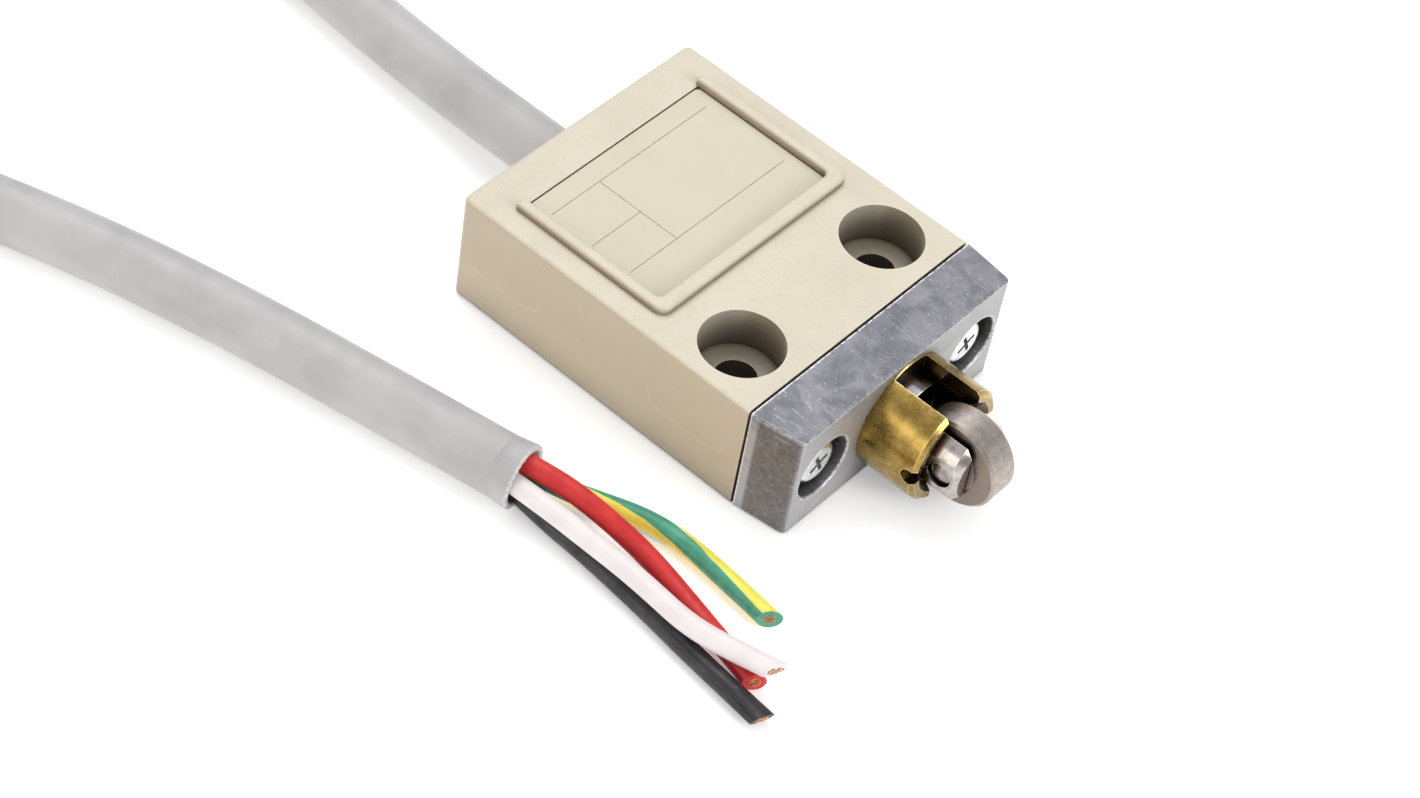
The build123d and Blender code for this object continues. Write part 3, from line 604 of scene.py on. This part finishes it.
def copper(name, dark, light):
    n = Nodes(name, light, metallic=1.0, roughness=0.28)
    n.colour(n.mix(n.span(n.noise(2.2, 3.0), 0.35, 0.65), dark, light))
    n.roughness(n.span(n.noise(5.0), 0.3, 0.7, 0.2, 0.4))
    n.bump(n.noise(6.0), 0.2, 0.01)
    return n.material


def black_rubber(name, colour):
    n = Nodes(name, colour, roughness=0.65)
    lighter = tuple(c * 1.7 + 0.01 for c in colour)
    n.colour(n.mix(n.span(n.noise(0.8, 4.0), 0.35, 0.65), colour, lighter))
    n.roughness(n.span(n.noise(2.5), 0.3, 0.7, 0.55, 0.75))
    n.bump(n.noise(4.0, 3.0), 0.3, 0.02)
    return n.material


def moulded_plastic(name, dark, light, roughness=0.45):
    n = Nodes(name, light, roughness=roughness)
    n.colour(n.mix(n.span(n.noise(0.5, 4.0), 0.35, 0.65), dark, light))
    n.roughness(n.span(n.noise(2.0), 0.3, 0.7, roughness - 0.06, roughness + 0.08))
    n.bump(n.noise(3.0, 3.0), 0.25, 0.015)
    return n.material


def grey_jacket():
    n = Nodes("grey_jacket", (0.44, 0.435, 0.45), roughness=0.44, Specular_IOR_Level=0.4)
    base = n.mix(n.span(n.noise(0.12, 3.0), 0.35, 0.65), (0.440, 0.428, 0.432), (0.505, 0.492, 0.495))
    base = n.mix(n.span(n.noise(2.8, 3.0, 0.7), 0.55, 0.75, 0.0, 0.3), base, (0.60, 0.585, 0.585))
    n.colour(base)
    n.roughness(n.span(n.noise(0.7, 3.0), 0.3, 0.7, 0.38, 0.52))
    n.bump(n.noise(0.22, 2.0), 0.25, 0.15)
    n.bump(n.noise(2.6, 3.0), 0.25, 0.02)
    return n.material


def jacket_cut():
    n = Nodes("jacket_cut", (0.60, 0.59, 0.60), roughness=0.6)
    n.colour(n.mix(n.span(n.noise(2.4, 3.0), 0.35, 0.65), (0.50, 0.49, 0.50), (0.68, 0.67, 0.68)))
    n.roughness(n.span(n.noise(3.0), 0.3, 0.7, 0.5, 0.7))
    n.bump(n.noise(3.5, 3.0), 0.4, 0.04)
    return n.material


def insulation(name, dark, light, roughness=0.4, streak=None):
    n = Nodes(name, light, roughness=roughness, Specular_IOR_Level=0.4)
    base = n.mix(n.span(n.noise(0.35, 3.0), 0.35, 0.65), dark, light)
    if streak:
        along = n.noise(1.6, 3.0, 0.65, n.place((0.25, 2.0, 2.0)))
        base = n.mix(n.span(along, 0.56, 0.72, 0.0, 0.55), base, streak)
    n.colour(base)
    n.roughness(n.span(n.noise(1.6), 0.3, 0.7, roughness - 0.06, roughness + 0.1))
    n.bump(n.noise(2.2, 3.0), 0.3, 0.02)
    n.bump(n.noise(0.5, 2.0), 0.25, 0.08)
    return n.material


STRIPE_LAYER = "stripes"
STRIPE_TURNS = 0.53


def green_yellow_insulation():
    """Green with two yellow bands that turn slowly round the core."""
    n = Nodes("green_yellow_insulation", (0.06, 0.30, 0.18), roughness=0.36)
    uv = n.tree.nodes.new("ShaderNodeUVMap")
    uv.uv_map = STRIPE_LAYER
    split = n.tree.nodes.new("ShaderNodeSeparateXYZ")
    n.link(uv.outputs["UV"], split.inputs[0])
    wobble = n.span(n.noise(0.4, 2.0), 0.2, 0.8, -0.058, -0.042)
    around = n.maths("ADD", n.maths("MULTIPLY", split.outputs[0], STRIPE_TURNS), split.outputs[1])
    around = n.maths("ADD", around, wobble)
    band = n.maths("ABSOLUTE", n.maths("SINE", n.maths("MULTIPLY", around, math.pi * 2)))
    band = n.span(band, 0.70, 0.76)
    green = n.mix(n.span(n.noise(0.5), 0.35, 0.65), (0.045, 0.300, 0.185), (0.075, 0.380, 0.250))
    yellow = n.mix(n.span(n.noise(0.5), 0.35, 0.65), (0.84, 0.72, 0.07), (0.93, 0.83, 0.12))
    n.colour(n.mix(band, green, yellow))
    n.roughness(n.span(n.noise(1.6), 0.3, 0.7, 0.32, 0.44))
    n.bump(n.noise(2.2, 3.0), 0.25, 0.02)
    return n.material


MATERIALS = {
    "cream_paint": cream_paint(),
    "label_film": label_film(),
    "bare_diecast": bare_diecast(),
    "turned_brass": turned_brass(),
    "stainless": polished_steel(),
    "roller_steel": roller_steel(),
    "zinc_plated_steel": bright_zinc(),
    "spring_steel": spring_steel(),
    "seal_rubber": black_rubber("seal_rubber", (0.012, 0.012, 0.012)),
    "gasket_rubber": black_rubber("gasket_rubber", (0.03, 0.03, 0.028)),
    "switch_moulding": moulded_plastic("switch_moulding", (0.045, 0.022, 0.012), (0.085, 0.045, 0.025)),
    "button_plastic": moulded_plastic("button_plastic", (0.30, 0.03, 0.02), (0.40, 0.05, 0.03)),
    "contact_alloy": silver_alloy(),
    "blade_copper": copper("blade_copper", (0.52, 0.24, 0.11), (0.72, 0.38, 0.20)),
    "grey_jacket": grey_jacket(),
    "red_insulation": insulation("red_insulation", (0.56, 0.022, 0.024), (0.66, 0.035, 0.034)),
    "white_insulation": insulation("white_insulation", (0.81, 0.75, 0.745), (0.85, 0.79, 0.785)),
    "black_insulation": insulation(
        "black_insulation", (0.016, 0.015, 0.018), (0.034, 0.033, 0.037), 0.36, (0.12, 0.11, 0.11)
    ),
    "green_yellow_insulation": green_yellow_insulation(),
    "copper_strand": copper("copper_strand", (0.50, 0.20, 0.09), (0.80, 0.42, 0.24)),
    "tie_plastic": moulded_plastic("tie_plastic", (0.62, 0.61, 0.58), (0.74, 0.73, 0.70), 0.4),
}


def dress_frame():
    """Give every CAD node the material of its slot."""
    slots = {part["node"]: part["material_slot"] for part in frame["record"]["subparts"]}
    for name, slot in slots.items():
        mesh = frame["nodes"][name].data
        mesh.materials.clear()
        mesh.materials.append(MATERIALS[slot])


# ---------------------------------------------------------------- cable pieces


def make_cable():
    end = Vector(TAIL_ROUTE[-1])
    along = (end - Vector(TAIL_ROUTE[-2])).normalized()
    tail = TAIL_ROUTE[:-1] + [tuple(end - along * SLEEVE_LAP)]
    cable = spline_object("cable", LEAD_ROUTE + coil_route() + tail, CABLE_D / 2)
    add_piece(cable, "case", "grey_jacket", MATERIALS["grey_jacket"])
    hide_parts("cable_lead", "cable_coil", "cable_tail")
    rim = make_jacket_end(end, along)


RIM_STEPS = range(2, 6)


def make_jacket_end(end, along):
    """The cut end of the jacket: a short open sleeve with a slightly ragged rim."""
    chance = random.Random(5)
    side = along.cross(Vector((0.0, 0.0, 1.0))).normalized()
    up = side.cross(along)
    outer, inner = CABLE_D / 2 + 0.015, CABLE_D / 2 - JACKET_WALL
    profile = [
        (-3.0, outer - 0.25),
        (-2.8, outer),
        (-0.25, outer),
        (-0.06, outer - 0.07),
        (0.0, outer - 0.24),
        (-0.03, inner + 0.18),
        (-0.16, inner),
        (-1.9, inner),
    ]
    count = 64
    ragged = [chance.uniform(-0.05, 0.05) for _ in range(count)]
    build = bmesh.new()
    rings = []
    for offset, r in profile:
        ring = []
        flare = 0.22 * smooth((offset + 2.8) / 2.8)
        for i in range(count):
            angle = 2 * math.pi * i / count
            slope = 0.16 * math.sin(angle + 0.8)
            shift = offset + (ragged[i] + slope if offset > -1.0 else 0.0)
            reach = r + flare + (ragged[(i * 7) % count] if offset > -0.2 else 0.0)
            place = end + along * shift + (side * math.cos(angle) + up * math.sin(angle)) * reach
            ring.append(build.verts.new(place * MM))
        rings.append(ring)
    for step, _, face in bridge(build, rings):
        face.material_index = 1 if step in RIM_STEPS else 0
    rim = mesh_object("jacket_end", build)
    shade_smooth(rim, 50.0)
    return add_piece(rim, "case", "grey_jacket", MATERIALS["grey_jacket"], jacket_cut())


def core_mesh(name, line, pressed, cut):
    """A round tube along a line, pressed flatter towards its end, cut in a plane of its own."""
    sides = 28
    build = bmesh.new()
    layer = build.loops.layers.uv.new(STRIPE_LAYER)
    frames = line_frames(line)
    rings = []
    for point, tangent, side, up in frames:
        left = (line[-1] - point).length / MM
        press = pressed[0] * smooth(1.0 - left / pressed[1])
        wide, high = 1.0 + 0.2 * press, 1.0 - 0.55 * press
        lean = smooth(1.0 - left / 3.0) / tangent.dot(cut)
        ring = []
        for k in range(sides):
            angle = 2 * math.pi * k / sides
            reach = side * math.cos(angle) * wide + up * math.sin(angle) * high
            reach -= tangent * reach.dot(cut) * lean
            ring.append(build.verts.new(point + reach * CORE_D / 2 * MM))
        rings.append(ring)
    spans = len(frames) - 1
    for i, k, face in bridge(build, rings):
        corners = ((i, k), (i, k + 1), (i + 1, k + 1), (i + 1, k))
        for loop, (a, b) in zip(face.loops, corners):
            loop[layer].uv = (a / spans, b / sides)
    cap_ends(build, rings)
    obj = mesh_object(name, build)
    shade_smooth(obj, 50.0)
    return obj, frames[-1]


STRAND_R = 0.135
STRAND_BACK = 0.5


def strand_bundle(build, end, pressed, cut, chance):
    """The cut strands of one core, almost flush with its insulation."""
    point, tangent, side, up = end
    wide, high = 1.0 + 0.3 * pressed[0], 1.0 - 0.6 * pressed[0]
    spots = [(0.0, 0.0)]
    spots += [(0.28, a * 60.0) for a in range(6)]
    spots += [(0.56, a * 30.0 + 15.0) for a in range(12)]
    for reach, degrees in spots:
        angle = math.radians(degrees + chance.uniform(-8.0, 8.0))
        offset = side * math.cos(angle) * reach * wide + up * math.sin(angle) * reach * high
        start = point + (offset - tangent * (STRAND_BACK + offset.dot(cut) / tangent.dot(cut))) * MM
        length = (STRAND_BACK + chance.uniform(0.02, 0.14)) * MM
        rings = []
        for along, share in ((0.0, 1.0), (length - 0.03 * MM, 1.0), (length, 0.7)):
            rings.append(circle(build, start + tangent * along, side, up, STRAND_R * MM * share, 10))
        bridge(build, rings)
        cap_ends(build, rings)


def make_cores():
    chance = random.Random(11)
    for colour, route in CORE_ROUTES.items():
        line = spline_line(route)
        slot = CORE_SLOTS[colour]
        pressed, cut = CORE_PRESSED[colour], Vector(CORE_CUT[colour])
        core, end = core_mesh("core_wire_" + colour, line, pressed, cut)
        add_piece(core, "case", slot, MATERIALS[slot])
        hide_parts("core_" + colour)
        build = bmesh.new()
        strand_bundle(build, end, pressed, cut, chance)
        strands = mesh_object("strands_" + colour, build)
        shade_smooth(strands, 40.0)
        add_piece(strands, "case", "copper_strand", MATERIALS["copper_strand"])
        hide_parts("core_strands")


# ---------------------------------------------------------------- springs


def spring_mesh(name, x0, x1, coil_r, wire_r, turns):
    """A round-wire compression spring along X, wound a little closer at its ends."""
    per_turn, sides = 40, 12
    length = x1 - x0 - 2 * wire_r
    line = []
    for i in range(int(turns * per_turn) + 1):
        u = i / per_turn
        angle = 2 * math.pi * u
        share = smooth(u / turns) * 0.12 + (u / turns) * 0.88
        x = x0 + wire_r + length * share
        y, z = coil_r * math.cos(angle), AXIS_Z + coil_r * math.sin(angle)
        line.append(Vector((x, y, z)) * MM)
    build = bmesh.new()
    rings = []
    for i, point in enumerate(line):
        ahead = (line[min(i + 1, len(line) - 1)] - line[max(i - 1, 0)]).normalized()
        out = Vector((0.0, point.y, point.z - AXIS_Z * MM)).normalized()
        other = ahead.cross(out).normalized()
        rings.append(circle(build, point, out, other, wire_r * MM, sides))
    bridge(build, rings)
    cap_ends(build, rings)
    bmesh.ops.recalc_face_normals(build, faces=build.faces)
    obj = mesh_object(name, build)
    shade_smooth(obj, 50.0)
    return obj


def make_springs():
    """The two springs, as fixed coils on the case and the plunger; the real ones shorten as the plunger
    goes in.
    """
    steel = MATERIALS["spring_steel"]
    back = spring_mesh("return_coil", -6.58, 6.08, 4.35, 0.45, 6)
    add_piece(back, "case", "spring_steel", steel)
    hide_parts("return_spring")
    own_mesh(back)
    over = spring_mesh("overtravel_coil", 8.42, 16.18, 2.05, 0.3, 5)
    add_piece(over, "plunger", "spring_steel", steel)
    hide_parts("overtravel_spring")
    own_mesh(over)


# ---------------------------------------------------------------- nameplate lines

PLATE_LINES = [
    ((-28.1, -13.8), (-28.1, 13.1)),
    ((-28.0, -5.75), (-15.9, -5.75)),
    ((-21.6, -14.0), (-21.6, -5.8)),
    ((-15.9, -13.8), (-15.9, 13.3)),
]
LINE_HALF_WIDTH = 0.055
LINE_SUNK = 0.02
LINE_PROUD = 0.012


def make_plate_lines():
    """Thin printed lines on the film."""
    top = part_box("nameplate")[1][2]
    build = bmesh.new()
    half = LINE_HALF_WIDTH
    for (x0, y0), (x1, y1) in PLATE_LINES:
        low = Vector((min(x0, x1) - half, min(y0, y1) - half, 0.0)) * MM
        high = Vector((max(x0, x1) + half, max(y0, y1) + half, 0.0)) * MM
        corners = [(low.x, low.y), (high.x, low.y), (high.x, high.y), (low.x, high.y)]
        bottom = [build.verts.new((x, y, top - LINE_SUNK * MM)) for x, y in corners]
        upper = [build.verts.new((x, y, top + LINE_PROUD * MM)) for x, y in corners]
        build.faces.new(upper)
        build.faces.new(list(reversed(bottom)))
        for i in range(4):
            j = (i + 1) % 4
            build.faces.new((bottom[i], bottom[j], upper[j], upper[i]))
    lines = mesh_object("nameplate_lines", build)
    add_piece(lines, "case", "label_film", line_ink())


# ---------------------------------------------------------------- floor and light


def make_floor():
    build = bmesh.new()
    bmesh.ops.create_grid(build, x_segments=2, y_segments=2, size=3.0)
    floor = mesh_object("floor", build)
    n = Nodes("floor_white", (0.94, 0.94, 0.94), roughness=0.85)
    n.shader.inputs["Emission Color"].default_value = (1.0, 1.0, 1.0, 1.0)
    n.shader.inputs["Emission Strength"].default_value = 0.3
    floor.data.materials.append(n.material)


def area_light(name, place, target, size, power, colour=(1.0, 1.0, 1.0)):
    data = bpy.data.lights.new(name, "AREA")
    data.shape = "RECTANGLE"
    data.size, data.size_y = size
    data.energy = power
    data.color = colour
    light = bpy.data.objects.new(name, data)
    bpy.context.collection.objects.link(light)
    light.location = Vector(place)
    light.rotation_euler = (Vector(target) - Vector(place)).to_track_quat("-Z", "Y").to_euler()


def make_world():
    """A pale studio, brighter overhead than near the horizon."""
    world = bpy.data.worlds.new("studio")
    bpy.context.scene.world = world
    world.use_nodes = True
    tree = world.node_tree
    coordinates = tree.nodes.new("ShaderNodeTexCoord")
    split = tree.nodes.new("ShaderNodeSeparateXYZ")
    rise = tree.nodes.new("ShaderNodeMapRange")
    rise.inputs["From Min"].default_value = 0.1
    rise.inputs["From Max"].default_value = 0.8
    rise.inputs["To Min"].default_value = 0.44
    rise.inputs["To Max"].default_value = 0.76
    tree.nodes["Background"].inputs["Color"].default_value = (1.0, 1.0, 1.0, 1.0)
    tree.links.new(coordinates.outputs["Generated"], split.inputs[0])
    tree.links.new(split.outputs["Z"], rise.inputs["Value"])
    tree.links.new(rise.outputs["Result"], tree.nodes["Background"].inputs["Strength"])


make_camera()
make_cable()
make_cores()
dress_frame()
make_springs()
make_plate_lines()
make_floor()
make_world()
area_light("key", (-0.45, 0.25, 0.85), (-0.01, 0.0, 0.0), (0.6, 0.6), 3.6)
area_light("front", (0.62, 0.05, 0.30), (0.0, 0.0, 0.0), (0.3, 0.3), 1.8)
area_light("fill", (-0.3, -0.75, 0.30), (0.0, 0.0, 0.0), (0.5, 0.4), 1.2, (1.0, 0.94, 0.84))
bpy.context.scene.view_settings.view_transform = "Standard"
